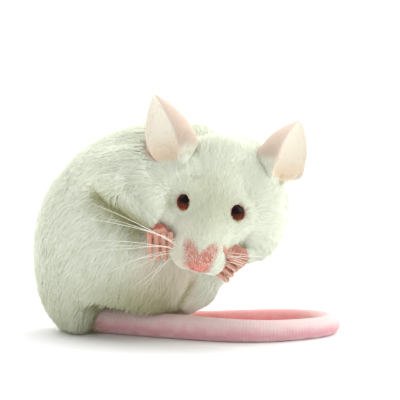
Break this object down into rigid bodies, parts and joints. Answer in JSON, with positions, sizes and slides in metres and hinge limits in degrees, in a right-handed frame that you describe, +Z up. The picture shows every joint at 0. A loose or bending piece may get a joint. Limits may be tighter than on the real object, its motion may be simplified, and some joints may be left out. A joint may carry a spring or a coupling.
{
  "type": "mouse model",
  "caption": "White mouse sitting hunched on its haunches, grooming its muzzle with both forepaws, tail looped forward on the floor; a still, life-size natural-history model",
  "frame": {"origin": "middle of the model's footprint, on the floor it sits on", "axes": "+Z up; +X from the rump towards the chest, the trunk's own length; the face looks towards -Y, over the mouse's right flank"},
  "size_m": [0.0596, 0.047, 0.0474],
  "materials": {
    "coat": "short sleek white fur",
    "bare_skin": "bare pink skin, finely ringed with scales on the tail",
    "ear_skin": "thin pale pink ear skin",
    "eye": "wet dark ruby eye"
  },
  "bodies": {
    "root": {"head": "coat", "lower_jaw": "coat", "nose": "bare_skin", "eye_right": "eye", "eye_left": "eye", "ear_right": "ear_skin", "ear_left": "ear_skin", "neck": "coat", "trunk_chest": "coat", "trunk_loin": "coat", "trunk_rump": "coat", "foreleg_right_upper": "coat", "foreleg_right_lower": "coat", "forepaw_right": "bare_skin", "haunch_right": "coat", "hindfoot_right": "bare_skin", "foreleg_left_upper": "coat", "foreleg_left_lower": "coat", "forepaw_left": "bare_skin", "haunch_left": "coat", "hindfoot_left": "bare_skin", "tail_1": "bare_skin", "tail_2": "bare_skin", "tail_3": "bare_skin", "tail_4": "bare_skin", "tail_5": "bare_skin", "tail_6": "bare_skin"}
  },
  "joints": []
}
